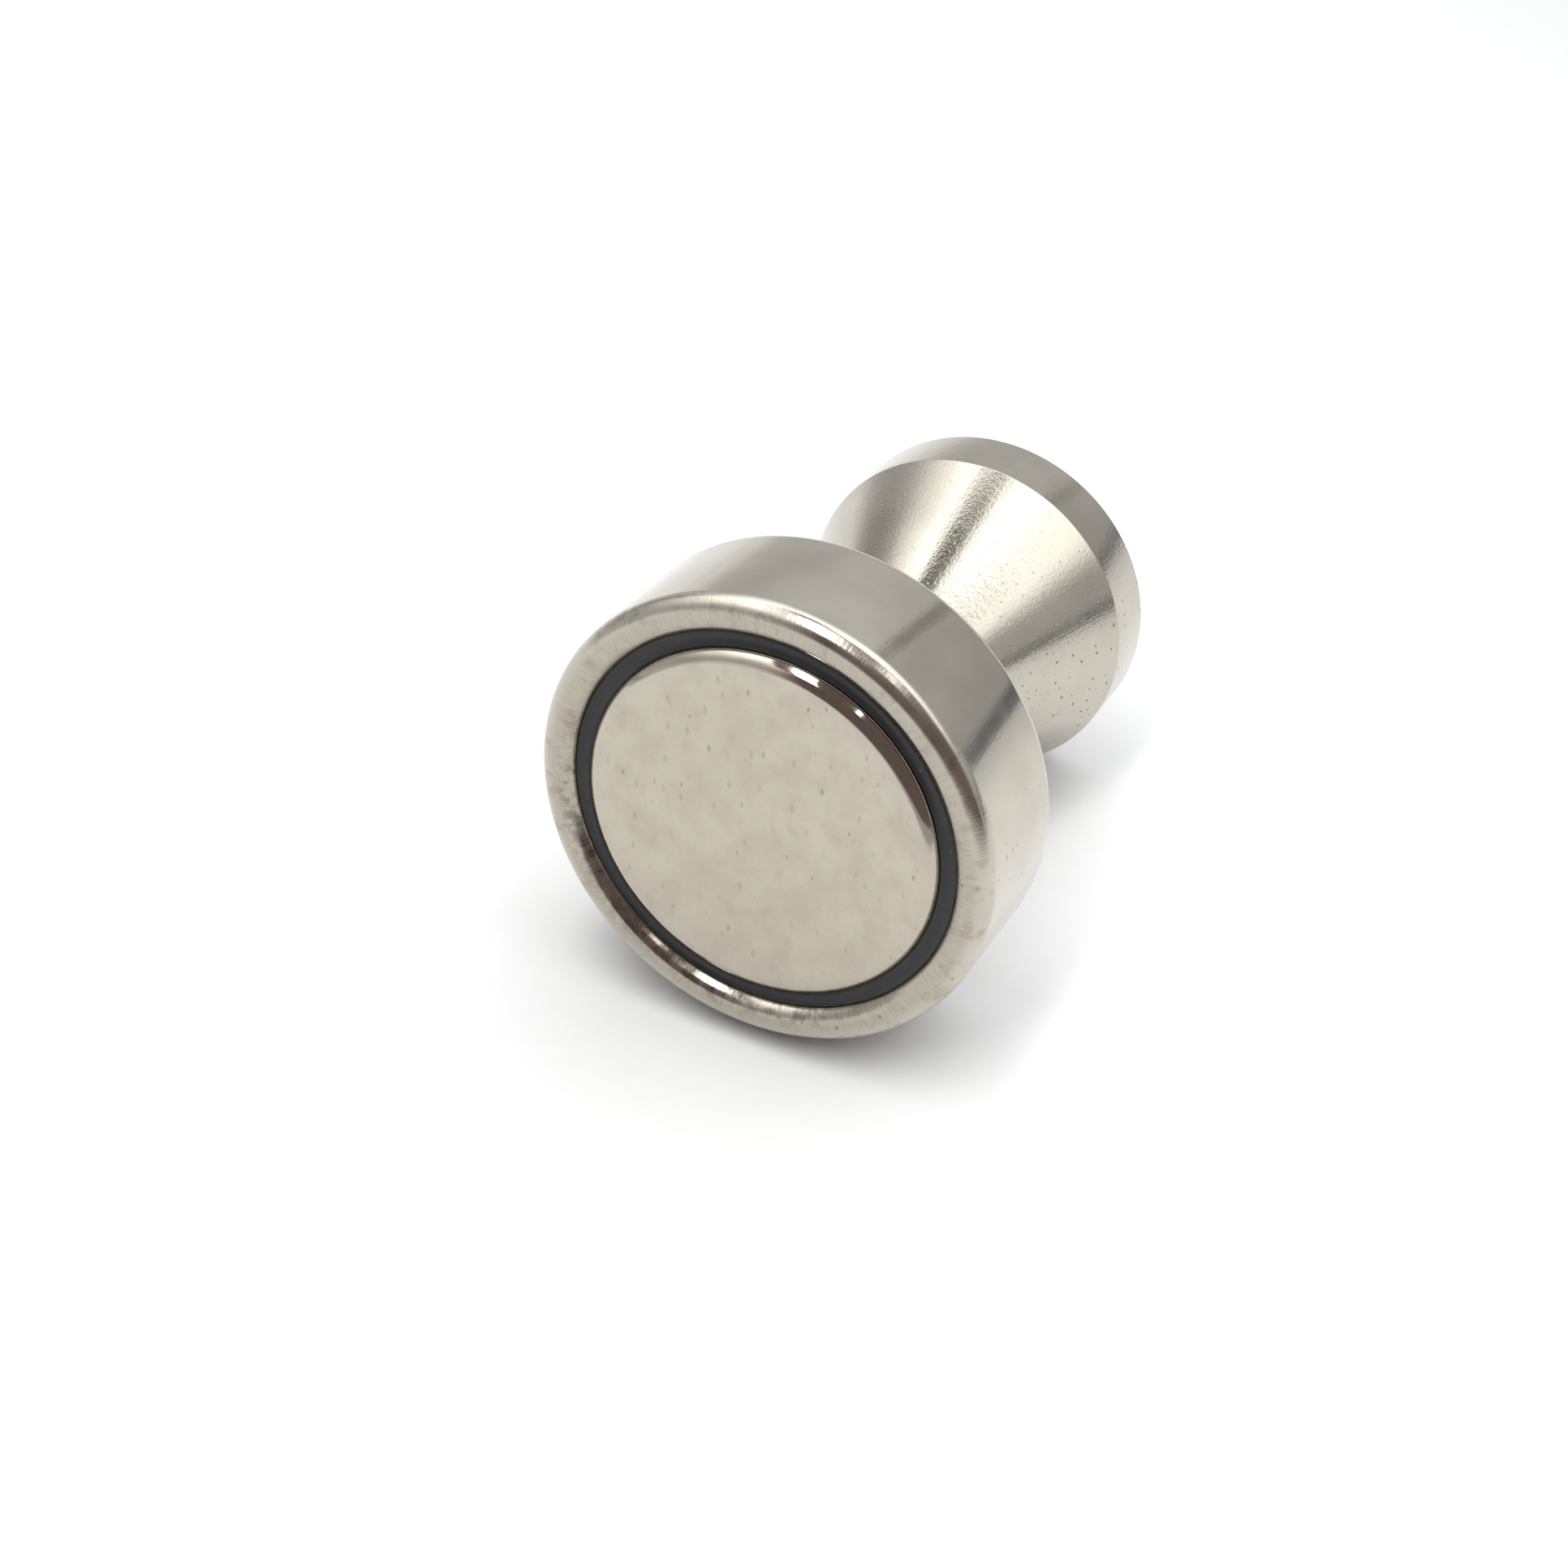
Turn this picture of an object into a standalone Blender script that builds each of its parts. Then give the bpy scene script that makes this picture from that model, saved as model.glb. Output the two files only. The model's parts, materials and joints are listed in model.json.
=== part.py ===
"""Magnetic security tag detacher: a disc magnet potted in a steel cup, with a waisted turned knob.

Every piece is turned, so each one is drawn as a half section and spun about its axis.
A section's points are (radius, height). Height runs along the axis, away from the magnet's face:
0 is the plane of the cup's lip, and the far end of the knob is the greatest height.
The assembly then lies on its side, on the rear edge of the cup and the rear edge of the knob,
with the magnet facing -Y, the knob towards +Y and the floor at z = 0.
"""

import math

import bmesh
import bpy
from mathutils import Vector

# ---- driving dimensions, in metres -------------------------------------------------------------
SEGMENTS = 64                  # flats round each turned surface
GAP = 0.00005                  # clearance between touching pieces

# cup
CUP_RADIUS = 0.0125
CUP_HEIGHT = 0.0080
CUP_INNER_RADIUS = 0.01048
CUP_FLOOR = 0.0053             # height of the inside floor, below the lip
LIP_OUTER_ROUND = 0.00085
LIP_INNER_ROUND = 0.0009
CUP_REAR_ROUND = 0.00075

# magnet, its adhesive and the potting resin
MAGNET_RADIUS = 0.00976
MAGNET_THICKNESS = 0.0050
MAGNET_FRONT_ROUND = 0.00085
MAGNET_REAR_ROUND = 0.0003
RESIN_RECESS = 0.00057         # how far the resin lies below the lip
RESIN_DIP = 0.00012            # how far its surface sags between the two walls

# knob
KNOB_RADIUS = 0.0094
KNOB_END = 0.0290              # height of the knob's far end
RIM_WIDTH = 0.00363            # straight band at the knob's far end
CONE_HALF_ANGLE = math.radians(25.9)
NECK_RADIUS = 0.0045
NECK_BLEND = 0.0025            # radius where the neck runs into the cone
NECK_CHAMFER = 0.0003
RIM_FRONT_ROUND = 0.0002
RIM_REAR_ROUND = 0.0002
KNOB_BORE_DEPTH = 0.0105
DRILL_POINT_HALF_ANGLE = math.radians(59)

# countersunk M4 screw, 12 mm long, with a hexagon socket
SCREW_RADIUS = 0.0020
SCREW_LENGTH = 0.0120
SCREW_HEAD_RADIUS = 0.0038
SCREW_HEAD_EDGE = 0.0002
SCREW_TIP_CHAMFER = 0.0004
SCREW_SINK = 0.0002            # how far the head lies below the cup's floor
SOCKET_ACROSS_FLATS = 0.0025
SOCKET_DEPTH = 0.0013
CLEARANCE_HOLE_RADIUS = 0.00225

# heights that follow from the sizes above
RIM_START = KNOB_END - RIM_WIDTH
KNOB_SEAT = CUP_HEIGHT + GAP
BOND_SEAT = MAGNET_THICKNESS + GAP
SCREW_HEAD_SEAT = CUP_FLOOR + SCREW_SINK


# ---- half sections -----------------------------------------------------------------------------
def arc(centre_radius, centre_height, radius, start, end, steps):
    """Points on a round; 0 degrees points away from the axis and 90 degrees points to the knob."""
    points = []
    for step in range(steps + 1):
        angle = math.radians(start + (end - start) * step / steps)
        points.append((centre_radius + radius * math.cos(angle),
                       centre_height + radius * math.sin(angle)))
    return points


def cup_section():
    """A pot with a rounded lip, a flat floor and a countersunk hole in the middle of its base."""
    cone_clearance = GAP * math.sqrt(2)
    sink_radius = SCREW_HEAD_RADIUS + cone_clearance
    sink_start = SCREW_HEAD_SEAT + SCREW_HEAD_EDGE
    sink_end = sink_start + sink_radius - CLEARANCE_HOLE_RADIUS
    lip_outer = CUP_RADIUS - LIP_OUTER_ROUND
    lip_inner = CUP_INNER_RADIUS + LIP_INNER_ROUND
    rear = CUP_RADIUS - CUP_REAR_ROUND
    return (arc(lip_inner, LIP_INNER_ROUND, LIP_INNER_ROUND, 180, 270, 5)
            + arc(lip_outer, LIP_OUTER_ROUND, LIP_OUTER_ROUND, -90, 0, 5)
            + arc(rear, CUP_HEIGHT - CUP_REAR_ROUND, CUP_REAR_ROUND, 0, 90, 4)
            + [(CLEARANCE_HOLE_RADIUS, CUP_HEIGHT),
               (CLEARANCE_HOLE_RADIUS, sink_end),
               (sink_radius, sink_start),
               (sink_radius, CUP_FLOOR),
               (CUP_INNER_RADIUS, CUP_FLOOR)])


def magnet_section():
    """A disc whose visible edge is well rounded by its plating."""
    front = MAGNET_RADIUS - MAGNET_FRONT_ROUND
    rear = MAGNET_RADIUS - MAGNET_REAR_ROUND
    return ([(0, 0)]
            + arc(front, MAGNET_FRONT_ROUND, MAGNET_FRONT_ROUND, -90, 0, 4)
            + arc(rear, MAGNET_THICKNESS - MAGNET_REAR_ROUND, MAGNET_REAR_ROUND, 0, 90, 2)
            + [(0, MAGNET_THICKNESS)])


def bond_section():
    """A thin disc of adhesive between the magnet and the cup's floor."""
    thickness = CUP_FLOOR - GAP - BOND_SEAT
    return [(0, 0), (MAGNET_RADIUS, 0), (MAGNET_RADIUS, thickness), (0, thickness)]


def resin_section():
    """A ring that fills the slot up the two rounded walls, with a surface that sags in the middle."""
    magnet_side = MAGNET_FRONT_ROUND + GAP
    magnet_angle = math.degrees(math.asin((RESIN_RECESS - MAGNET_FRONT_ROUND) / magnet_side))
    inner_side = arc(MAGNET_RADIUS - MAGNET_FRONT_ROUND, MAGNET_FRONT_ROUND, magnet_side,
                     magnet_angle, 0, 3)
    lip_side = LIP_INNER_ROUND + GAP
    lip_angle = 180 + math.degrees(math.asin((LIP_INNER_ROUND - RESIN_RECESS) / lip_side))
    outer_side = arc(CUP_INNER_RADIUS + LIP_INNER_ROUND, LIP_INNER_ROUND, lip_side, lip_angle, 180, 3)
    inner = inner_side[0][0]
    outer = outer_side[0][0]
    steps = 4
    surface = []
    for step in range(1, steps):
        share = step / steps
        surface.append((inner + (outer - inner) * share,
                        RESIN_RECESS + 4 * RESIN_DIP * share * (1 - share)))
    foot = [(CUP_INNER_RADIUS - GAP, CUP_FLOOR - GAP), (MAGNET_RADIUS + GAP, CUP_FLOOR - GAP)]
    return surface + outer_side + foot + inner_side[::-1]


def knob_section():
    """A straight neck that flares in a cone to a short straight rim, with a blind bore for the screw."""
    length = KNOB_END - KNOB_SEAT
    rim_start = RIM_START - KNOB_SEAT
    bore_radius = SCREW_RADIUS + GAP
    drill_point = bore_radius / math.tan(DRILL_POINT_HALF_ANGLE)
    cone_degrees = math.degrees(CONE_HALF_ANGLE)

    # The blend's arc is tangent to the neck and to the cone.
    corner = rim_start - (KNOB_RADIUS - NECK_RADIUS) / math.tan(CONE_HALF_ANGLE)
    blend_start = corner - NECK_BLEND * math.tan(CONE_HALF_ANGLE / 2)
    blend = arc(NECK_RADIUS + NECK_BLEND, blend_start, NECK_BLEND, 180, 180 - cone_degrees, 4)

    # The small round between cone and rim is tangent to both.
    edge_centre = rim_start + RIM_FRONT_ROUND * math.tan(CONE_HALF_ANGLE / 2)
    edge = arc(KNOB_RADIUS - RIM_FRONT_ROUND, edge_centre, RIM_FRONT_ROUND, -cone_degrees, 0, 2)
    rear = arc(KNOB_RADIUS - RIM_REAR_ROUND, length - RIM_REAR_ROUND, RIM_REAR_ROUND, 0, 90, 3)
    return ([(0, KNOB_BORE_DEPTH + drill_point),
             (bore_radius, KNOB_BORE_DEPTH),
             (bore_radius, 0),
             (NECK_RADIUS - NECK_CHAMFER, 0),
             (NECK_RADIUS, NECK_CHAMFER)]
            + blend
            + edge
            + rear
            + [(0, length)])


def screw_section():
    """A 90 degree countersunk head and a plain shank at the thread's outer size."""
    cone_end = SCREW_HEAD_EDGE + SCREW_HEAD_RADIUS - SCREW_RADIUS
    return [(0, 0),
            (SCREW_HEAD_RADIUS, 0),
            (SCREW_HEAD_RADIUS, SCREW_HEAD_EDGE),
            (SCREW_RADIUS, cone_end),
            (SCREW_RADIUS, SCREW_LENGTH - SCREW_TIP_CHAMFER),
            (SCREW_RADIUS - SCREW_TIP_CHAMFER, SCREW_LENGTH),
            (0, SCREW_LENGTH)]


# ---- making objects ----------------------------------------------------------------------------
def clear_scene():
    for old in list(bpy.data.objects):
        bpy.data.objects.remove(old, do_unlink=True)


def make_material(name, colour, metallic, roughness):
    material = bpy.data.materials.new(name)
    material.use_nodes = True
    material.diffuse_color = (*colour, 1.0)
    shader = material.node_tree.nodes["Principled BSDF"]
    shader.inputs["Base Color"].default_value = (*colour, 1.0)
    shader.inputs["Metallic"].default_value = metallic
    shader.inputs["Roughness"].default_value = roughness
    return material


def turned(name, section, seat, material, parent):
    """Spin a half section about the object's own Z axis and seat it at a height on the assembly axis."""
    # The section stands half a flat off +X, so that a flat and not a corner faces the floor.
    start = math.pi / SEGMENTS
    shape = bmesh.new()
    corners = [shape.verts.new((radius * math.cos(start), radius * math.sin(start), height))
               for radius, height in section]
    edges = [shape.edges.new(pair) for pair in zip(corners, corners[1:])]
    if section[0][0] > 0:
        edges.append(shape.edges.new((corners[-1], corners[0])))
    bmesh.ops.spin(shape, geom=corners + edges, cent=(0, 0, 0), axis=(0, 0, 1),
                   angle=2 * math.pi, steps=SEGMENTS, use_merge=True)
    bmesh.ops.remove_doubles(shape, verts=shape.verts, dist=GAP / 50)
    bmesh.ops.recalc_face_normals(shape, faces=shape.faces)
    mesh = bpy.data.meshes.new(name)
    shape.to_mesh(mesh)
    shape.free()
    mesh.materials.append(material)
    mesh.shade_smooth()
    mesh.set_sharp_from_angle(angle=math.radians(30))
    piece = bpy.data.objects.new(name, mesh)
    piece.location = (0, 0, seat)
    piece.parent = parent
    bpy.context.collection.objects.link(piece)
    return piece


def cut_hex_socket(screw):
    """Cut the driver's hexagon socket into the screw head with a six-sided cutter."""
    shape = bmesh.new()
    across_corners = SOCKET_ACROSS_FLATS / math.cos(math.pi / 6)
    bmesh.ops.create_cone(shape, cap_ends=True, segments=6, radius1=across_corners / 2,
                          radius2=across_corners / 2, depth=2 * SOCKET_DEPTH)
    mesh = bpy.data.meshes.new("socket_cutter")
    shape.to_mesh(mesh)
    shape.free()
    cutter = bpy.data.objects.new("socket_cutter", mesh)
    cutter.parent = screw
    cutter.hide_render = True
    cutter.display_type = "WIRE"
    bpy.context.collection.objects.link(cutter)
    cut = screw.modifiers.new("hex_socket", "BOOLEAN")
    cut.operation = "DIFFERENCE"
    cut.solver = "EXACT"
    cut.object = cutter


def resting_pitch():
    """How far the axis dips towards the knob when the cup's and the knob's rear rounds share a floor."""
    drop = (CUP_RADIUS - CUP_REAR_ROUND) - (KNOB_RADIUS - RIM_REAR_ROUND)
    run = (KNOB_END - RIM_REAR_ROUND) - (CUP_HEIGHT - CUP_REAR_ROUND)
    round_difference = CUP_REAR_ROUND - RIM_REAR_ROUND
    return math.atan2(drop, run) + math.asin(round_difference / math.hypot(drop, run))


def lay_down(assembly, pieces):
    """Turn the assembly onto its side, its lowest point at z = 0 and its box centred on the Z axis."""
    assembly.rotation_euler = (-math.pi / 2 - resting_pitch(), 0, 0)
    bpy.context.view_layer.update()
    points = [piece.matrix_world @ vertex.co for piece in pieces for vertex in piece.data.vertices]
    lowest = Vector([min(point[axis] for point in points) for axis in range(3)])
    highest = Vector([max(point[axis] for point in points) for axis in range(3)])
    middle = (lowest + highest) / 2
    assembly.location = (-middle.x, -middle.y, -lowest.z)


def build():
    clear_scene()
    nickel = make_material("nickel_plate", (0.66, 0.63, 0.58), 1.0, 0.22)
    magnet_nickel = make_material("magnet_nickel", (0.68, 0.65, 0.60), 1.0, 0.30)
    resin = make_material("potting_resin", (0.035, 0.035, 0.037), 0.0, 0.35)
    adhesive = make_material("adhesive", (0.55, 0.50, 0.36), 0.0, 0.50)
    steel = make_material("screw_steel", (0.55, 0.55, 0.56), 1.0, 0.35)

    assembly = bpy.data.objects.new("lying_frame", None)
    bpy.context.collection.objects.link(assembly)
    pieces = [
        turned("magnet_cup", cup_section(), 0, nickel, assembly),
        turned("disc_magnet", magnet_section(), 0, magnet_nickel, assembly),
        turned("magnet_bond", bond_section(), BOND_SEAT, adhesive, assembly),
        turned("potting_ring", resin_section(), 0, resin, assembly),
        turned("handle_knob", knob_section(), KNOB_SEAT, nickel, assembly),
        turned("fixing_screw", screw_section(), SCREW_HEAD_SEAT, steel, assembly),
    ]
    cut_hex_socket(pieces[-1])
    lay_down(assembly, pieces)


build()
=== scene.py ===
"""Looks of the magnetic security tag detacher: fine turned surfaces, worn nickel and black resin.

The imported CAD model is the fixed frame. Each visible CAD solid is replaced by a finely turned piece
of the same size. Lengths are in metres. A half section's points are (radius, height): height runs
along the turned axis, from 0 at the plane of the cup's lip to the far end of the knob.
"""

import json
import math

import bmesh
import bpy
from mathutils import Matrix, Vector


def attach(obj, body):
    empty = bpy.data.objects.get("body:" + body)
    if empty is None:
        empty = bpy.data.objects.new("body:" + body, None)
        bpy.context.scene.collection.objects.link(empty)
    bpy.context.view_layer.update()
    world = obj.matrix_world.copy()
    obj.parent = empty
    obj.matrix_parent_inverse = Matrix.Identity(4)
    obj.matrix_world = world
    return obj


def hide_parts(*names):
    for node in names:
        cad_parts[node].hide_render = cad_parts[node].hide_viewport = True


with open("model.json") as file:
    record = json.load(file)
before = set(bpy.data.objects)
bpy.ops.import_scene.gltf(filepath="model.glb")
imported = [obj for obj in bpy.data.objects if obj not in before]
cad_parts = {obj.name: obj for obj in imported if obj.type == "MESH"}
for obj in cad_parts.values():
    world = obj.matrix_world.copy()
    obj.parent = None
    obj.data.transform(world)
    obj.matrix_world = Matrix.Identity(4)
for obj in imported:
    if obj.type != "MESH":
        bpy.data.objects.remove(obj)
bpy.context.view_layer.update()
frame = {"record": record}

# ---- sizes, as in the CAD model ----------------------------------------------------------------
SEGMENTS = 360
SHARP_ANGLE = math.radians(30)
GAP = 0.00005

CUP_RADIUS = 0.0125
CUP_HEIGHT = 0.0080
CUP_INNER_RADIUS = 0.01048
CUP_FLOOR = 0.0053
CUP_HOLE_RADIUS = 0.00225
LIP_OUTER_ROUND = 0.00085
LIP_INNER_ROUND = 0.0009
CUP_REAR_ROUND = 0.00075
HOLE_SINK_RADIUS = 0.0039
HOLE_SINK_START = 0.0057

MAGNET_RADIUS = 0.00976
MAGNET_THICKNESS = 0.0050
MAGNET_FRONT_ROUND = 0.00085
MAGNET_REAR_ROUND = 0.0003
RESIN_RECESS = 0.00057
RESIN_DIP = 0.00012

KNOB_RADIUS = 0.0094
KNOB_END = 0.0290
RIM_WIDTH = 0.00363
CONE_HALF_ANGLE = math.radians(25.9)
NECK_RADIUS = 0.0045
NECK_BLEND = 0.0025
NECK_CHAMFER = 0.0003
RIM_FRONT_ROUND = 0.0002
RIM_REAR_ROUND = 0.0002
KNOB_BORE_RADIUS = 0.00205
KNOB_BORE_DEPTH = 0.0105
DRILL_POINT_HALF_ANGLE = math.radians(59)

# ---- camera ------------------------------------------------------------------------------------
CAMERA_AZIMUTH = math.radians(27.4)
CAMERA_ELEVATION = math.radians(40.9)
CAMERA_PLACE = Vector((0.0435, -0.0950, 0.0959))
CAMERA_LENS = 57.7
SENSOR_WIDTH = 36.0

# ---- where the turned axis lies, read from the frame -------------------------------------------
MOUNTS = {mount["name"]: mount for mount in frame["record"]["mounts"]}
LIP_CENTRE = Vector(MOUNTS["magnet_face"]["pos_m"])
AXIS = -Vector(MOUNTS["magnet_face"]["axis"]).normalized()


# ---- half sections -----------------------------------------------------------------------------
def arc(centre_radius, centre_height, radius, start, end, steps):
    """Points on a round; 0 degrees points away from the axis and 90 degrees points to the knob."""
    points = []
    for step in range(steps + 1):
        angle = math.radians(start + (end - start) * step / steps)
        points.append((centre_radius + radius * math.cos(angle),
                       centre_height + radius * math.sin(angle)))
    return points


def cup_section():
    lip_outer = CUP_RADIUS - LIP_OUTER_ROUND
    lip_inner = CUP_INNER_RADIUS + LIP_INNER_ROUND
    rear = CUP_RADIUS - CUP_REAR_ROUND
    sink_end = HOLE_SINK_START + HOLE_SINK_RADIUS - CUP_HOLE_RADIUS
    return (arc(lip_inner, LIP_INNER_ROUND, LIP_INNER_ROUND, 180, 270, 24)
            + arc(lip_outer, LIP_OUTER_ROUND, LIP_OUTER_ROUND, -90, 0, 24)
            + arc(rear, CUP_HEIGHT - CUP_REAR_ROUND, CUP_REAR_ROUND, 0, 90, 16)
            + [(CUP_HOLE_RADIUS, CUP_HEIGHT),
               (CUP_HOLE_RADIUS, sink_end),
               (HOLE_SINK_RADIUS, HOLE_SINK_START),
               (HOLE_SINK_RADIUS, CUP_FLOOR),
               (CUP_INNER_RADIUS, CUP_FLOOR)])


def magnet_section():
    front = MAGNET_RADIUS - MAGNET_FRONT_ROUND
    rear = MAGNET_RADIUS - MAGNET_REAR_ROUND
    return ([(0, 0)]
            + arc(front, MAGNET_FRONT_ROUND, MAGNET_FRONT_ROUND, -90, 0, 24)
            + arc(rear, MAGNET_THICKNESS - MAGNET_REAR_ROUND, MAGNET_REAR_ROUND, 0, 90, 6)
            + [(0, MAGNET_THICKNESS)])


def resin_section():
    """A ring that touches both rounded walls, with a surface that sags between them."""
    magnet_angle = math.degrees(math.asin((RESIN_RECESS - MAGNET_FRONT_ROUND) / MAGNET_FRONT_ROUND))
    inner_side = arc(MAGNET_RADIUS - MAGNET_FRONT_ROUND, MAGNET_FRONT_ROUND, MAGNET_FRONT_ROUND,
                     magnet_angle, 0, 8)
    lip_angle = 180 + math.degrees(math.asin((LIP_INNER_ROUND - RESIN_RECESS) / LIP_INNER_ROUND))
    outer_side = arc(CUP_INNER_RADIUS + LIP_INNER_ROUND, LIP_INNER_ROUND, LIP_INNER_ROUND,
                     lip_angle, 180, 8)
    inner = inner_side[0][0]
    outer = outer_side[0][0]
    steps = 24
    surface = []
    for step in range(1, steps):
        share = step / steps
        surface.append((inner + (outer - inner) * share,
                        RESIN_RECESS + 4 * RESIN_DIP * share * (1 - share)))
    foot = [(CUP_INNER_RADIUS, CUP_FLOOR - GAP), (MAGNET_RADIUS, CUP_FLOOR - GAP)]
    return surface + outer_side + foot + inner_side[::-1]


def knob_section():
    seat = CUP_HEIGHT + GAP
    rim_start = KNOB_END - RIM_WIDTH
    cone_degrees = math.degrees(CONE_HALF_ANGLE)
    drill_point = KNOB_BORE_RADIUS / math.tan(DRILL_POINT_HALF_ANGLE)
    corner = rim_start - (KNOB_RADIUS - NECK_RADIUS) / math.tan(CONE_HALF_ANGLE)
    blend_start = corner - NECK_BLEND * math.tan(CONE_HALF_ANGLE / 2)
    edge_centre = rim_start + RIM_FRONT_ROUND * math.tan(CONE_HALF_ANGLE / 2)
    return ([(0, seat + KNOB_BORE_DEPTH + drill_point),
             (KNOB_BORE_RADIUS, seat + KNOB_BORE_DEPTH),
             (KNOB_BORE_RADIUS, seat),
             (NECK_RADIUS - NECK_CHAMFER, seat),
             (NECK_RADIUS, seat + NECK_CHAMFER)]
            + arc(NECK_RADIUS + NECK_BLEND, blend_start, NECK_BLEND, 180, 180 - cone_degrees, 12)
            + arc(KNOB_RADIUS - RIM_FRONT_ROUND, edge_centre, RIM_FRONT_ROUND, -cone_degrees, 0, 6)
            + arc(KNOB_RADIUS - RIM_REAR_ROUND, KNOB_END - RIM_REAR_ROUND, RIM_REAR_ROUND, 0, 90, 10)
            + [(0, KNOB_END)])


def turned(name, section, material, stands_for):
    """Spin a half section about its z axis, lay that along the turned axis and replace a CAD node."""
    shape = bmesh.new()
    corners = [shape.verts.new((radius, 0, height)) for radius, height in section]
    edges = [shape.edges.new(pair) for pair in zip(corners, corners[1:])]
    if section[0][0] > 0:
        edges.append(shape.edges.new((corners[-1], corners[0])))
    bmesh.ops.spin(shape, geom=corners + edges, cent=(0, 0, 0), axis=(0, 0, 1),
                   angle=2 * math.pi, steps=SEGMENTS, use_merge=True)
    bmesh.ops.remove_doubles(shape, verts=shape.verts, dist=GAP / 100)
    bmesh.ops.recalc_face_normals(shape, faces=shape.faces)
    mesh = bpy.data.meshes.new(name)
    shape.to_mesh(mesh)
    shape.free()
    mesh.materials.append(material)
    mesh.shade_smooth()
    mesh.set_sharp_from_angle(angle=SHARP_ANGLE)
    piece = bpy.data.objects.new(name, mesh)
    piece.location = LIP_CENTRE
    piece.rotation_euler = (math.asin(AXIS.z) - math.pi / 2, 0, 0)
    bpy.context.scene.collection.objects.link(piece)
    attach(piece, "root")
    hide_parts(stands_for)
    return piece


# ---- node helpers ------------------------------------------------------------------------------
NOISE_LOW = 0.3
NOISE_HIGH = 0.7


def add_node(tree, kind, inputs=None, **settings):
    node = tree.nodes.new(kind)
    for name, value in settings.items():
        setattr(node, name, value)
    for key, value in (inputs or {}).items():
        if isinstance(value, bpy.types.NodeSocket):
            tree.links.new(value, node.inputs[key])
        else:
            node.inputs[key].default_value = value
    return node


def calculate(tree, operation, first, second=0.0, clamp=False):
    node = add_node(tree, "ShaderNodeMath", {0: first, 1: second}, operation=operation, use_clamp=clamp)
    return node.outputs[0]


def ramp(tree, value, low, high, start=0.0, end=1.0):
    """A smooth step from start to end while value goes from low to high."""
    node = add_node(tree, "ShaderNodeMapRange",
                    {"Value": value, "From Min": low, "From Max": high, "To Min": start, "To Max": end},
                    interpolation_type="SMOOTHSTEP")
    return node.outputs["Result"]


def mix_colours(tree, share, first, second):
    node = add_node(tree, "ShaderNodeMix", {0: share}, data_type="RGBA")
    for index, value in ((6, first), (7, second)):
        if isinstance(value, bpy.types.NodeSocket):
            tree.links.new(value, node.inputs[index])
        else:
            node.inputs[index].default_value = (*value, 1.0)
    return node.outputs[2]


def darken(tree, colour, share, factor):
    """Multiply a colour by factor where share is 1."""
    scale = add_node(tree, "ShaderNodeMapRange",
                     {"Value": share, "From Min": 0.0, "From Max": 1.0, "To Min": 1.0, "To Max": factor})
    return scaled(tree, colour, scale.outputs["Result"])


def scaled(tree, vector, factor):
    """A vector or a colour times a number."""
    node = add_node(tree, "ShaderNodeVectorMath", {0: vector, "Scale": factor}, operation="SCALE")
    return node.outputs["Vector"]


def reach_along(tree, vector, direction):
    """How far a vector reaches in a direction."""
    node = add_node(tree, "ShaderNodeVectorMath", {0: vector, 1: direction}, operation="DOT_PRODUCT")
    return node.outputs["Value"]


def object_place(tree):
    """Object coordinates. In a turned piece z is the height, as in its half section."""
    return add_node(tree, "ShaderNodeTexCoord").outputs["Object"]


def z_part(tree, vector):
    return add_node(tree, "ShaderNodeSeparateXYZ", {0: vector}).outputs["Z"]


def noise(tree, vector, scale, detail=2.0, roughness=0.5):
    node = add_node(tree, "ShaderNodeTexNoise",
                    {"Vector": vector, "Scale": scale, "Detail": detail, "Roughness": roughness})
    return node.outputs["Fac"]


def spread(tree, value, start=0.0, end=1.0):
    """A noise value's usual range, drawn out to go from start to end."""
    return ramp(tree, value, NOISE_LOW, NOISE_HIGH, start, end)


def new_material(name):
    material = bpy.data.materials.new(name)
    material.use_nodes = True
    return material, material.node_tree, material.node_tree.nodes["Principled BSDF"]


# ---- studio ------------------------------------------------------------------------------------
def add_camera():
    data = bpy.data.cameras.new("camera")
    data.lens = CAMERA_LENS
    data.sensor_width = SENSOR_WIDTH
    data.clip_start = 0.001
    camera = bpy.data.objects.new("camera", data)
    camera.location = CAMERA_PLACE
    camera.rotation_euler = (math.pi / 2 - CAMERA_ELEVATION, 0, CAMERA_AZIMUTH)
    bpy.context.scene.collection.objects.link(camera)
    bpy.context.scene.camera = camera


# The room that the metal mirrors, as brightness against elevation in degrees: the open side of the
# room, the side with the window, and the front left.
OPEN_SIDE = [(0, 0.82), (5, 0.58), (11, 0.53), (17, 0.52), (27, 0.62), (33, 0.70), (39, 0.95),
             (45, 1.2), (52, 1.5), (58, 2.0), (90, 2.0)]
WINDOW_SIDE = [(0, 0.42), (8, 0.46), (20, 0.48), (24, 0.60), (33, 1.36), (39, 1.7), (52, 1.9),
               (60, 2.5), (90, 2.5)]
WINDOW_RISE = 7.0              # degrees by which the window side's far end sits higher
WINDOW_RISE_START = 104        # azimuths between which it rises
WINDOW_RISE_END = 120
FRONT_LEFT_SIDE = [(0, 0.60), (5, 0.52), (12, 0.45), (20, 0.48), (28, 0.68), (34, 0.95), (40, 1.25),
                   (45, 1.6), (52, 1.9), (58, 2.2), (90, 2.2)]
# Where the last two sides lie: azimuths, and the softness of their ends.
WINDOW_SIDE_SPAN = (95, 165, 14)
FRONT_LEFT_SPAN = (-110, -40, 16)
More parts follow.
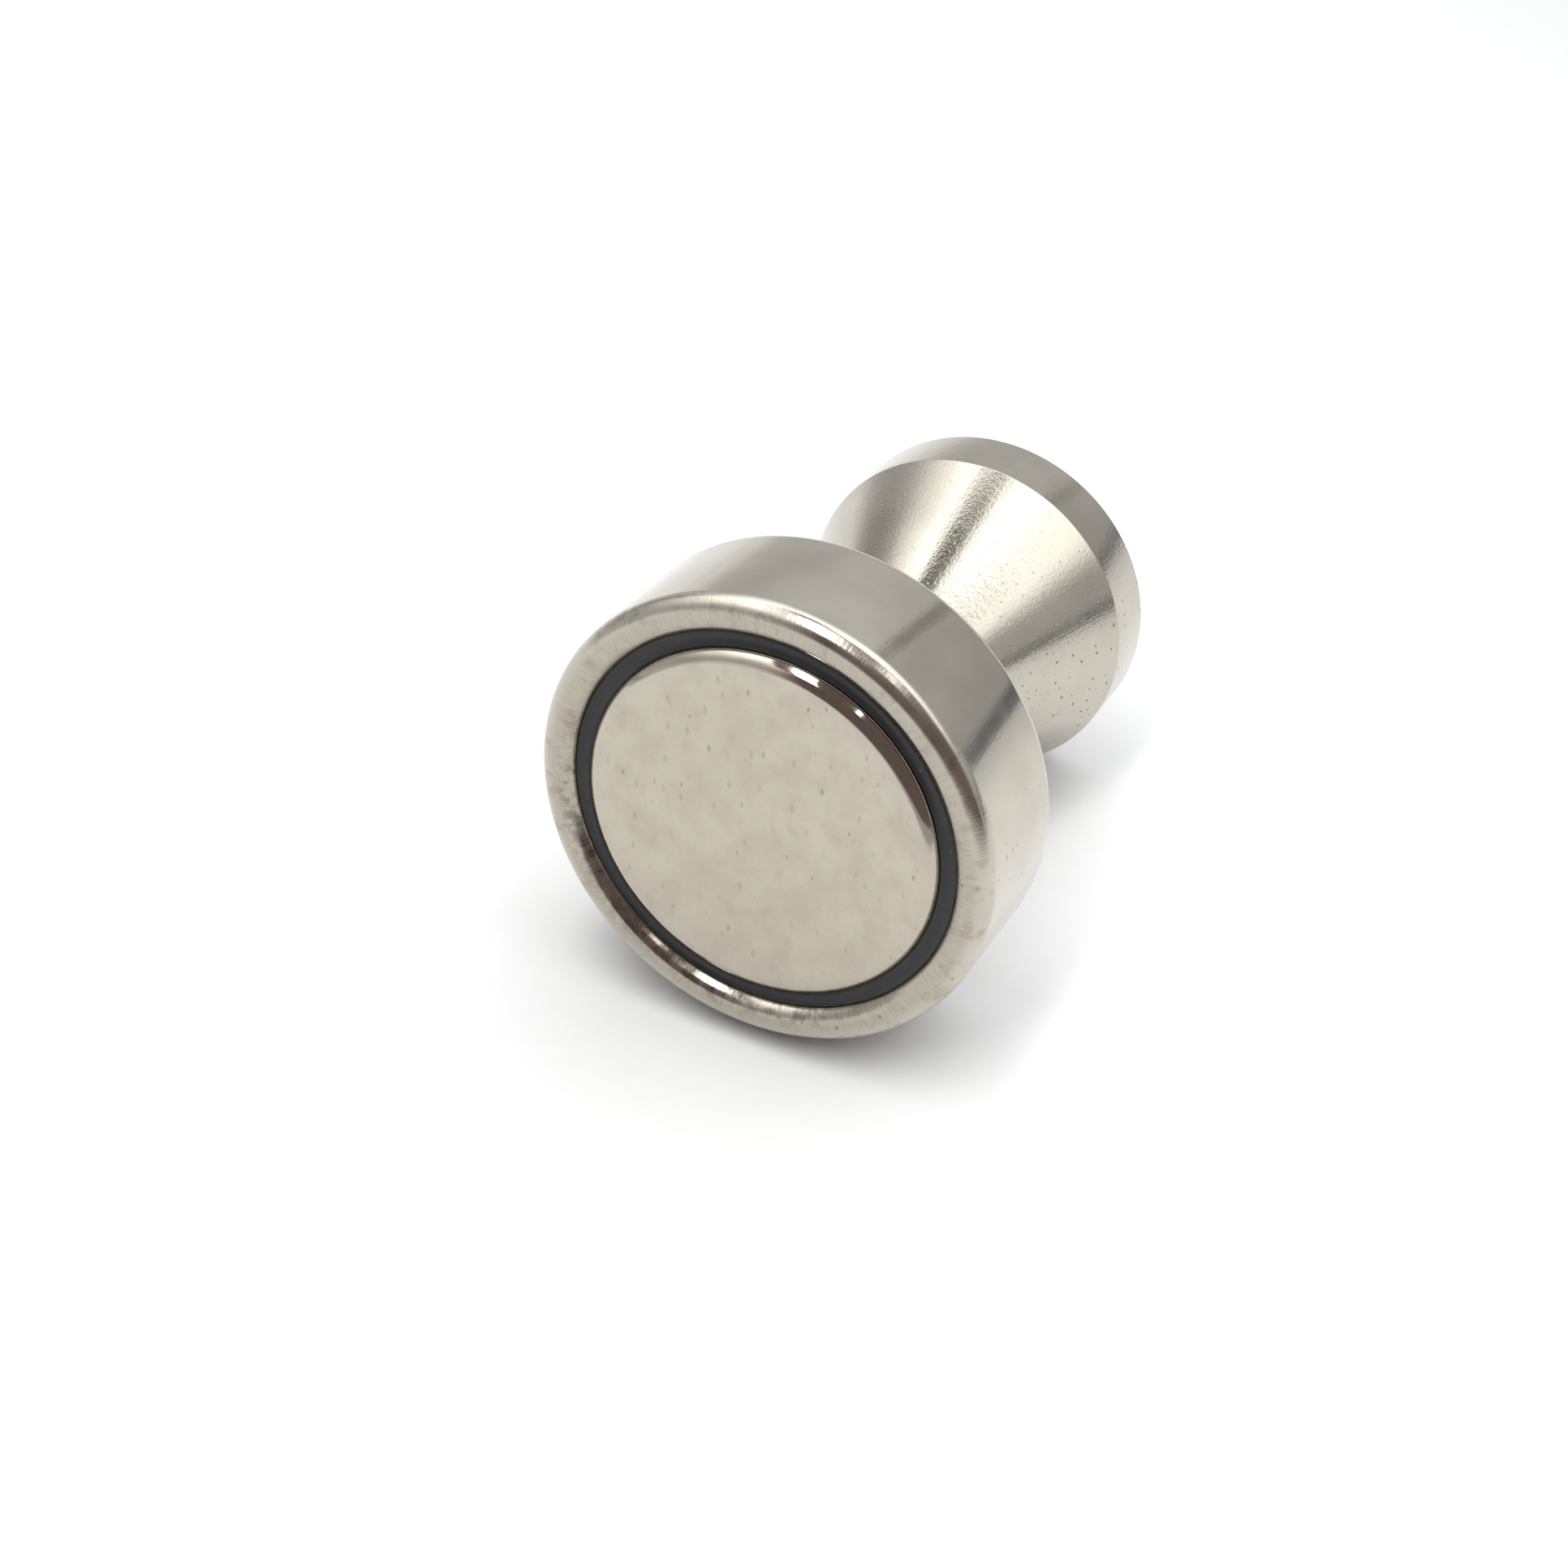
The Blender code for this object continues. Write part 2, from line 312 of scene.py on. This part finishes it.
# Patches in front of the walls: azimuths in degrees from -Y towards +X, elevations in degrees, edge
# softness sideways and upwards in degrees, and colour.
PATCHES = [
    ((-19, 88), (-8, 55), (12, 14), (0.155, 0.118, 0.118)),    # the photographer
    ((165, 180), (62, 72), (6, 4), (1.3, 1.3, 1.3)),           # a dimmer stretch of the ceiling
    ((165, 169), (14, 33), (2, 4), (0.34, 0.34, 0.35)),        # a post
    ((95, 160), (-4, 2), (10, 2), (0.16, 0.17, 0.19)),         # a skirting board
    ((-112, -60), (-1, 2), (20, 2), (0.35, 0.35, 0.35)),       # and the one facing it
    ((-117, -103), (6, 35), (3, 24), (0.32, 0.32, 0.32)),      # a chair
]
# Patches on the ceiling: from and to along X, then towards -Y, both per metre of ceiling height, edge
# softness, and colour. All lean to one side: CEILING_SHEAR along X for each unit towards -Y.
CEILING_SHEAR = 0.10
CEILING_START = 38             # elevations between which the ceiling's patches fade in
CEILING_FULL = 46
LEAST_RISE = 0.3               # keeps the ceiling's coordinates finite near the horizon
CEILING = [
    ((-0.36, 3.0), (-0.20, 3.0), 0.08, (0.16, 0.125, 0.12)),   # unlit panels above the photographer
    ((-0.36, -0.06), (-0.37, -0.12), 0.03, (0.19, 0.19, 0.19)),  # a beam behind them
    ((-0.148, 0.010), (-0.04, 1.0), 0.015, (11.0, 11.0, 10.8)),  # a roof window's left pane
    ((0.020, 0.070), (-0.04, 1.0), 0.015, (4.0, 4.0, 3.9)),    # and its right pane
    ((0.53, 0.58), (-0.10, 0.75), 0.02, (7.0, 7.0, 6.7)),      # a small lamp
]
LIGHT_STRENGTH = 1.25
BACKDROP_COLOUR = (1.2, 1.2, 1.2)
# The soft light on matt surfaces: brightness below and above its dome's edge, the elevations of that
# soft edge, and how far it is brighter (a share) and the dome's edge lower (degrees) on one side.
SOFT_LIGHT_LOW = 0.01
SOFT_LIGHT_HIGH = 1.93
SOFT_LIGHT_EDGE = (34, 70)
SOFT_LIGHT_COLOUR = (0.985, 1.0, 1.02)
SOFT_LIGHT_AZIMUTH = 138.0
SOFT_LIGHT_LEAN = 0.70
SOFT_LIGHT_TILT = 24.0

FLOOR_HALF = 0.25
# Two stretches of the floor are darker, as painted shade: the way they lie, from and to in metres, and
# the factor.
FLOOR_PAINTED_SHADE = [
    ((0.62, 0.79, 0.0), 0.03, 0.16, 0.72),                     # at the far right
    ((0.64, -0.77, 0.0), 0.065, 0.11, 0.5),                    # below the camera
]


def elevation_profile(tree, elevation, stops):
    share = calculate(tree, "DIVIDE", elevation, 90.0)
    node = add_node(tree, "ShaderNodeValToRGB", {0: share})
    node.color_ramp.interpolation = "LINEAR"
    elements = node.color_ramp.elements
    while len(elements) < len(stops):
        elements.new(1.0)
    for element, (degrees, brightness) in zip(elements, stops):
        element.position = degrees / 90
        element.color = (brightness, brightness, brightness, 1.0)
    return node.outputs["Color"]


def window(tree, value, low, high, soft):
    """1 between low and high, 0 outside, with soft edges."""
    rise = ramp(tree, value, low - soft / 2, low + soft / 2)
    fall = ramp(tree, value, high - soft / 2, high + soft / 2, 1.0, 0.0)
    return calculate(tree, "MULTIPLY", rise, fall)


def room_walls(tree, azimuth, elevation):
    lowered = calculate(tree, "SUBTRACT", elevation,
                        ramp(tree, azimuth, WINDOW_RISE_START, WINDOW_RISE_END, 0, WINDOW_RISE))
    colour = mix_colours(tree, window(tree, azimuth, *WINDOW_SIDE_SPAN),
                         elevation_profile(tree, elevation, OPEN_SIDE),
                         elevation_profile(tree, lowered, WINDOW_SIDE))
    colour = mix_colours(tree, window(tree, azimuth, *FRONT_LEFT_SPAN), colour,
                         elevation_profile(tree, elevation, FRONT_LEFT_SIDE))
    for azimuths, elevations, soft, patch_colour in PATCHES:
        share = calculate(tree, "MULTIPLY", window(tree, azimuth, *azimuths, soft[0]),
                          window(tree, elevation, *elevations, soft[1]))
        colour = mix_colours(tree, share, colour, patch_colour)
    return colour


def room_ceiling(tree, split, front, elevation, colour):
    """Lay the ceiling's patches, seen as on a flat ceiling, over the room's colour."""
    height = calculate(tree, "MAXIMUM", split.outputs["Z"], LEAST_RISE)
    across = calculate(tree, "DIVIDE", split.outputs["X"], height)
    frontward = calculate(tree, "DIVIDE", front, height)
    across = calculate(tree, "ADD", across, calculate(tree, "MULTIPLY", frontward, CEILING_SHEAR))
    above = ramp(tree, elevation, CEILING_START, CEILING_FULL)
    for widths, lengths, soft, patch_colour in CEILING:
        share = calculate(tree, "MULTIPLY", window(tree, across, *widths, soft),
                          window(tree, frontward, *lengths, soft))
        colour = mix_colours(tree, calculate(tree, "MULTIPLY", share, above), colour, patch_colour)
    return colour


def soft_light(tree, direction, elevation):
    """A bright dome overhead that leans to one side, for matt surfaces and their shadows."""
    turn = math.radians(SOFT_LIGHT_AZIMUTH)
    lean = reach_along(tree, direction, (math.sin(turn), -math.cos(turn), 0))
    tilted = calculate(tree, "ADD", elevation, calculate(tree, "MULTIPLY", lean, SOFT_LIGHT_TILT))
    share = calculate(tree, "ADD", calculate(tree, "MULTIPLY", lean, SOFT_LIGHT_LEAN), 1.0)
    dome = ramp(tree, tilted, *SOFT_LIGHT_EDGE, SOFT_LIGHT_LOW, SOFT_LIGHT_HIGH)
    return scaled(tree, SOFT_LIGHT_COLOUR, calculate(tree, "MULTIPLY", share, dome))


def add_world():
    """Metal mirrors the room, matt surfaces get the soft light, and the backdrop is plain white."""
    world = bpy.data.worlds.new("studio")
    world.use_nodes = True
    bpy.context.scene.world = world
    tree = world.node_tree
    tree.nodes.clear()
    direction = add_node(tree, "ShaderNodeTexCoord").outputs["Generated"]
    split = add_node(tree, "ShaderNodeSeparateXYZ", {0: direction})
    front = calculate(tree, "MULTIPLY", split.outputs["Y"], -1.0)
    azimuth = calculate(tree, "DEGREES", calculate(tree, "ARCTAN2", split.outputs["X"], front))
    elevation = calculate(tree, "DEGREES", calculate(tree, "ARCSINE", split.outputs["Z"]))
    colour = room_walls(tree, azimuth, elevation)
    colour = room_ceiling(tree, split, front, elevation, colour)
    path = add_node(tree, "ShaderNodeLightPath")
    colour = mix_colours(tree, path.outputs["Is Diffuse Ray"], colour,
                         soft_light(tree, direction, elevation))
    colour = mix_colours(tree, path.outputs["Is Camera Ray"], colour, BACKDROP_COLOUR)
    background = add_node(tree, "ShaderNodeBackground", {"Color": colour, "Strength": LIGHT_STRENGTH})
    output = add_node(tree, "ShaderNodeOutputWorld")
    tree.links.new(background.outputs[0], output.inputs["Surface"])


def add_floor():
    half = FLOOR_HALF
    mesh = bpy.data.meshes.new("floor")
    mesh.from_pydata([(-half, -half, 0), (half, -half, 0), (half, half, 0), (-half, half, 0)],
                     [], [(0, 1, 2, 3)])
    material, tree, shader = new_material("floor_paper")
    position = object_place(tree)
    grain = noise(tree, position, scale=900.0, detail=3.0)
    colour = mix_colours(tree, grain, (0.69, 0.69, 0.69), (0.72, 0.72, 0.72))
    # Painted shade: the floor's colour is darkened along each listed stretch.
    for direction, start, end, factor in FLOOR_PAINTED_SHADE:
        shade = ramp(tree, reach_along(tree, position, direction), start, end)
        colour = darken(tree, colour, shade, factor)
    tree.links.new(colour, shader.inputs["Base Color"])
    shader.inputs["Roughness"].default_value = 0.6
    shader.inputs["Specular IOR Level"].default_value = 0.2
    mesh.materials.append(material)
    floor = bpy.data.objects.new("floor", mesh)
    bpy.context.scene.collection.objects.link(floor)


# ---- materials ---------------------------------------------------------------------------------
# Base colours, from the darkest to the brightest part of a cloud; single colours; and how much of
# its brightness the metal keeps under a film of resin.
CUP_NICKEL = ((0.485, 0.454, 0.387), (0.555, 0.521, 0.451))
WORN_NICKEL = ((0.400, 0.370, 0.308), (0.460, 0.427, 0.360))
KNOB_NICKEL = ((0.485, 0.454, 0.389), (0.532, 0.498, 0.431))
MAGNET_NICKEL = ((0.462, 0.424, 0.352), (0.522, 0.481, 0.404))
BLACK_RESIN = ((0.013, 0.013, 0.014), (0.025, 0.025, 0.027))
TARNISH_COLOUR = (0.310, 0.258, 0.212)
DUST_COLOUR = (0.12, 0.12, 0.12)
RESIN_FILM_FACTOR = 0.12
# Ways out from the turned axis, in object coordinates, where x points right and y down: to the side
# that carries the spots and pits, and to the foot of the lip at the left, darkened partly by dirt and
# partly by painted shade.
LOW_SIDE = (0.85, 0.53, 0.0)
LEFT_FOOT = (-0.55, 0.83, 0.0)
# Where the cup's looks fade in or out: heights behind the plane of its lip, then radii, in metres.
FRONT_FADE = (0.0005, 0.0011)
REAR_EDGE_FADE = (0.0073, 0.0078)
LIP_FADE = (0.0115, 0.0122)
SHOULDER_FADE = (0.0117, 0.0121)
INNER_LIP_FADE = (0.0117, 0.0109)
# Where the film of resin on the metal fades in: heights just in front of the resin's edge.
RESIN_FILM_FADE = (RESIN_RECESS - 0.00009, RESIN_RECESS - 0.00002)


def axis_parts(tree):
    """Object coordinates, the distance from the turned axis and the direction away from it."""
    position = object_place(tree)
    flat = add_node(tree, "ShaderNodeVectorMath", {0: position, 1: (1.0, 1.0, 0.0)}, operation="MULTIPLY")
    radius = add_node(tree, "ShaderNodeVectorMath", {0: flat.outputs[0]}, operation="LENGTH")
    outward = add_node(tree, "ShaderNodeVectorMath", {0: flat.outputs[0]}, operation="NORMALIZE")
    return position, radius.outputs["Value"], outward.outputs[0]


def streaks(tree, position, outward, fineness, shortness):
    """Noise drawn out along the lines that run straight out from and along the turned axis."""
    drawn = scaled(tree, position, shortness)
    vector = add_node(tree, "ShaderNodeVectorMath", {0: outward, 1: drawn}, operation="ADD")
    return noise(tree, vector.outputs[0], scale=fineness, detail=3.0)


def spots(tree, vector, scale, size, share_kept):
    """Small round spots: about share_kept of the cells hold one of up to the given size."""
    cells = add_node(tree, "ShaderNodeTexVoronoi", {"Vector": vector, "Scale": scale},
                     voronoi_dimensions="2D")
    random = add_node(tree, "ShaderNodeSeparateColor", {0: cells.outputs["Color"]})
    kept = calculate(tree, "LESS_THAN", random.outputs[0], share_kept)
    reach = add_node(tree, "ShaderNodeMath", {0: random.outputs[1], 1: size, 2: size * 0.4},
                     operation="MULTIPLY_ADD")
    inside = calculate(tree, "SUBTRACT", reach.outputs[0], cells.outputs["Distance"])
    soft = calculate(tree, "DIVIDE", inside, size * 0.3, clamp=True)
    return calculate(tree, "MULTIPLY", soft, kept)


def add_bump(tree, shader, heights):
    """Raise the surface by the sum of some height maps, each with its own depth in metres."""
    total = 0.0
    for height, depth in heights:
        total = calculate(tree, "ADD", calculate(tree, "MULTIPLY", height, depth), total)
    bump = add_node(tree, "ShaderNodeBump", {"Height": total, "Distance": 1.0})
    tree.links.new(bump.outputs[0], shader.inputs["Normal"])


def surface_place(tree, position, radius, mean_radius):
    """Flat coordinates on a turned surface: along its girth, and along its section."""
    split = add_node(tree, "ShaderNodeSeparateXYZ", {0: position})
    upward = calculate(tree, "MULTIPLY", split.outputs["Y"], -1.0)
    angle = calculate(tree, "ARCTAN2", split.outputs["X"], upward)
    girth = calculate(tree, "MULTIPLY", angle, mean_radius)
    run = calculate(tree, "ADD", split.outputs["Z"], radius)
    return add_node(tree, "ShaderNodeCombineXYZ", {0: girth, 1: run}).outputs[0]


def resin_film(tree, height):
    """1 from just in front of the line where the resin meets the metal, back to the cup's floor."""
    behind_edge = ramp(tree, height, *RESIN_FILM_FADE)
    return calculate(tree, "MULTIPLY", behind_edge, calculate(tree, "LESS_THAN", height, CUP_FLOOR))


def cup_plating(tree, position, cloud, streak, front, lip):
    """Clouded plating, worn on the lip and tarnished in patches on the front."""
    colour = mix_colours(tree, spread(tree, cloud), *CUP_NICKEL)
    worn = mix_colours(tree, spread(tree, streak), *WORN_NICKEL)
    colour = mix_colours(tree, lip, colour, worn)
    patches = noise(tree, position, scale=900.0, detail=5.0, roughness=0.65)
    tarnish = calculate(tree, "MULTIPLY", ramp(tree, patches, 0.51, 0.66, 0.0, 0.5), front)
    return mix_colours(tree, tarnish, colour, TARNISH_COLOUR)


def mark_inner_lip(tree, colour, position, outward, inner_lip):
    """Scratches along the lip's inner edge, and patches darker at its left foot: partly dirt, partly
    painted shade.
    """
    scratch = ramp(tree, streaks(tree, position, outward, fineness=160.0, shortness=5.0), 0.60, 0.70)
    colour = darken(tree, colour, calculate(tree, "MULTIPLY", scratch, inner_lip), 0.62)
    patches = noise(tree, position, scale=1500.0, detail=4.0, roughness=0.65)
    left_foot = ramp(tree, reach_along(tree, outward, LEFT_FOOT), 0.1, 0.7)
    # Painted shade: these patches at the lip's left foot stand partly for dirt and partly for shade
    # painted into the colour.
    grime_and_painted_shade = calculate(tree, "MULTIPLY", ramp(tree, patches, 0.44, 0.60), left_foot)
    return darken(tree, colour, calculate(tree, "MULTIPLY", grime_and_painted_shade, inner_lip), 0.6)


def add_brown_spots(tree, colour, place, outward):
    """Mostly on the low side."""
    brown = spots(tree, place, scale=1300.0, size=0.12, share_kept=0.25)
    low_side = ramp(tree, reach_along(tree, outward, LOW_SIDE), 0.45, 0.85, 0.05, 1.0)
    return darken(tree, colour, calculate(tree, "MULTIPLY", brown, low_side), 0.60)


def film_cup_wall(tree, colour, radius, height):
    """Resin on the cup's inner wall only, not on the outside at the same height."""
    inside = calculate(tree, "LESS_THAN", radius, CUP_INNER_RADIUS + LIP_INNER_ROUND)
    film = calculate(tree, "MULTIPLY", resin_film(tree, height), inside)
    return darken(tree, colour, film, RESIN_FILM_FACTOR)


def cup_roughness(tree, height, streak, cloud, lip, shoulder):
    """Bright plating that is duller on the lip, its shoulder and the cup's rear edge."""
    dull = calculate(tree, "MULTIPLY", spread(tree, streak, 0.04, 0.10), lip)
    dull = calculate(tree, "ADD", dull, calculate(tree, "MULTIPLY", shoulder, 0.10))
    rear_edge = ramp(tree, height, *REAR_EDGE_FADE)
    dull = calculate(tree, "ADD", dull, calculate(tree, "MULTIPLY", rear_edge, 0.25))
    return calculate(tree, "ADD", spread(tree, cloud, 0.07, 0.15), dull)


def cup_material():
    """Bright plating: clouded, with fine streaks, a duller scratched lip and a few brown spots."""
    material, tree, shader = new_material("cup_nickel")
    position, radius, outward = axis_parts(tree)
    height = z_part(tree, position)
    front = ramp(tree, height, *FRONT_FADE, 1.0, 0.0)
    lip = calculate(tree, "MULTIPLY", front, ramp(tree, radius, *LIP_FADE, 1.0, 0.0))
    shoulder = calculate(tree, "MULTIPLY", front, ramp(tree, radius, *SHOULDER_FADE))
    cloud = noise(tree, position, scale=260.0, detail=3.0)
    streak = streaks(tree, position, outward, fineness=90.0, shortness=8.0)
    inner_lip = calculate(tree, "MULTIPLY", front, ramp(tree, radius, *INNER_LIP_FADE))
    colour = cup_plating(tree, position, cloud, streak, front, lip)
    colour = mark_inner_lip(tree, colour, position, outward, inner_lip)
    colour = add_brown_spots(tree, colour, surface_place(tree, position, radius, CUP_RADIUS), outward)
    colour = film_cup_wall(tree, colour, radius, height)
    tree.links.new(colour, shader.inputs["Base Color"])
    shader.inputs["Metallic"].default_value = 1.0
    rough = cup_roughness(tree, height, streak, cloud, lip, shoulder)
    tree.links.new(rough, shader.inputs["Roughness"])
    grain = noise(tree, position, scale=2600.0)
    edge_streak = calculate(tree, "MULTIPLY", streak, shoulder)
    add_bump(tree, shader, [(grain, 1.5e-6), (streak, 2.0e-6), (edge_streak, 4.0e-6)])
    return material


def knob_material():
    """Bright plating with an orange-peel grain, streaks along the cone and many small pits."""
    material, tree, shader = new_material("knob_nickel")
    position, radius, outward = axis_parts(tree)
    cloud = noise(tree, position, scale=300.0, detail=3.0)
    streak = streaks(tree, position, outward, fineness=60.0, shortness=20.0)
    low_side = reach_along(tree, outward, LOW_SIDE)
    place = surface_place(tree, position, radius, KNOB_RADIUS)
    pits = spots(tree, place, scale=1250.0, size=0.11, share_kept=0.45)
    pits = calculate(tree, "MULTIPLY", pits, ramp(tree, low_side, 0.45, 0.85, 0.15, 1.0))
    fine_pits = spots(tree, place, scale=2600.0, size=0.10, share_kept=0.4)
    fine_pits = calculate(tree, "MULTIPLY", fine_pits, ramp(tree, low_side, 0.2, 0.8, 0.35, 0.9))
    colour = mix_colours(tree, spread(tree, cloud), *KNOB_NICKEL)
    colour = darken(tree, colour, pits, 0.28)
    colour = darken(tree, colour, fine_pits, 0.66)
    tree.links.new(colour, shader.inputs["Base Color"])
    shader.inputs["Metallic"].default_value = 1.0
    tree.links.new(spread(tree, cloud, 0.08, 0.14), shader.inputs["Roughness"])
    grain = noise(tree, position, scale=5000.0, detail=3.0, roughness=0.7)
    add_bump(tree, shader, [(grain, 9.0e-6), (streak, 4.5e-6), (pits, -2.0e-5)])
    return material


def magnet_material():
    """Satin plating with soft clouds and faint specks drawn out up and down."""
    material, tree, shader = new_material("magnet_nickel")
    position = object_place(tree)
    drawn = add_node(tree, "ShaderNodeVectorMath", {0: position, 1: (1.0, 0.45, 1.0)},
                     operation="MULTIPLY").outputs[0]
    cloud = noise(tree, position, scale=420.0, detail=4.0, roughness=0.6)
    smear = noise(tree, drawn, scale=1500.0, detail=3.0)
    colour = mix_colours(tree, spread(tree, cloud), *MAGNET_NICKEL)
    colour = darken(tree, colour, ramp(tree, smear, 0.50, 0.80), 0.92)
    specks = spots(tree, drawn, scale=640.0, size=0.045, share_kept=0.5)
    colour = darken(tree, colour, specks, 0.70)
    faint_specks = spots(tree, drawn, scale=1150.0, size=0.12, share_kept=0.45)
    colour = darken(tree, colour, faint_specks, 0.86)
    colour = darken(tree, colour, resin_film(tree, z_part(tree, position)), RESIN_FILM_FACTOR)
    tree.links.new(colour, shader.inputs["Base Color"])
    shader.inputs["Metallic"].default_value = 1.0
    tree.links.new(spread(tree, cloud, 0.06, 0.10), shader.inputs["Roughness"])
    grain = noise(tree, position, scale=2400.0)
    add_bump(tree, shader, [(grain, 8.0e-7)])
    return material


def resin_material():
    """Black cast resin, satin, with faint flow marks and dust."""
    material, tree, shader = new_material("black_resin")
    position = object_place(tree)
    cloud = noise(tree, position, scale=500.0, detail=3.0)
    colour = mix_colours(tree, cloud, *BLACK_RESIN)
    dust = spots(tree, position, scale=1500.0, size=0.08, share_kept=0.10)
    colour = mix_colours(tree, calculate(tree, "MULTIPLY", dust, 0.5), colour, DUST_COLOUR)
    tree.links.new(colour, shader.inputs["Base Color"])
    tree.links.new(spread(tree, cloud, 0.28, 0.42), shader.inputs["Roughness"])
    shader.inputs["Specular IOR Level"].default_value = 0.4
    ripple = noise(tree, position, scale=900.0)
    add_bump(tree, shader, [(ripple, 6.0e-6)])
    return material


def hidden_material(name, first, second, metallic):
    """Clouded and slightly rough, for the adhesive and the screw inside the cup."""
    material, tree, shader = new_material(name)
    cloud = noise(tree, object_place(tree), scale=600.0, detail=3.0)
    tree.links.new(mix_colours(tree, cloud, first, second), shader.inputs["Base Color"])
    shader.inputs["Metallic"].default_value = metallic
    tree.links.new(spread(tree, cloud, 0.35, 0.55), shader.inputs["Roughness"])
    add_bump(tree, shader, [(cloud, 4.0e-6)])
    return material


# ---- the object --------------------------------------------------------------------------------
def build_object():
    turned("cup", cup_section(), cup_material(), "magnet_cup")
    turned("magnet_disc", magnet_section(), magnet_material(), "disc_magnet")
    turned("resin_ring", resin_section(), resin_material(), "potting_ring")
    turned("knob", knob_section(), knob_material(), "handle_knob")


def dress_hidden_pieces():
    """Give the two CAD pieces inside the cup a material of their own."""
    glue = hidden_material("cured_adhesive", (0.50, 0.45, 0.31), (0.60, 0.55, 0.40), 0.0)
    zinc = hidden_material("zinc_steel", (0.50, 0.50, 0.51), (0.60, 0.60, 0.61), 1.0)
    for node, material in (("magnet_bond", glue), ("fixing_screw", zinc)):
        mesh = bpy.data.objects[node].data
        mesh.materials.clear()
        mesh.materials.append(material)


bpy.context.scene.view_settings.view_transform = "Standard"
add_camera()
add_world()
add_floor()
build_object()
dress_hidden_pieces()
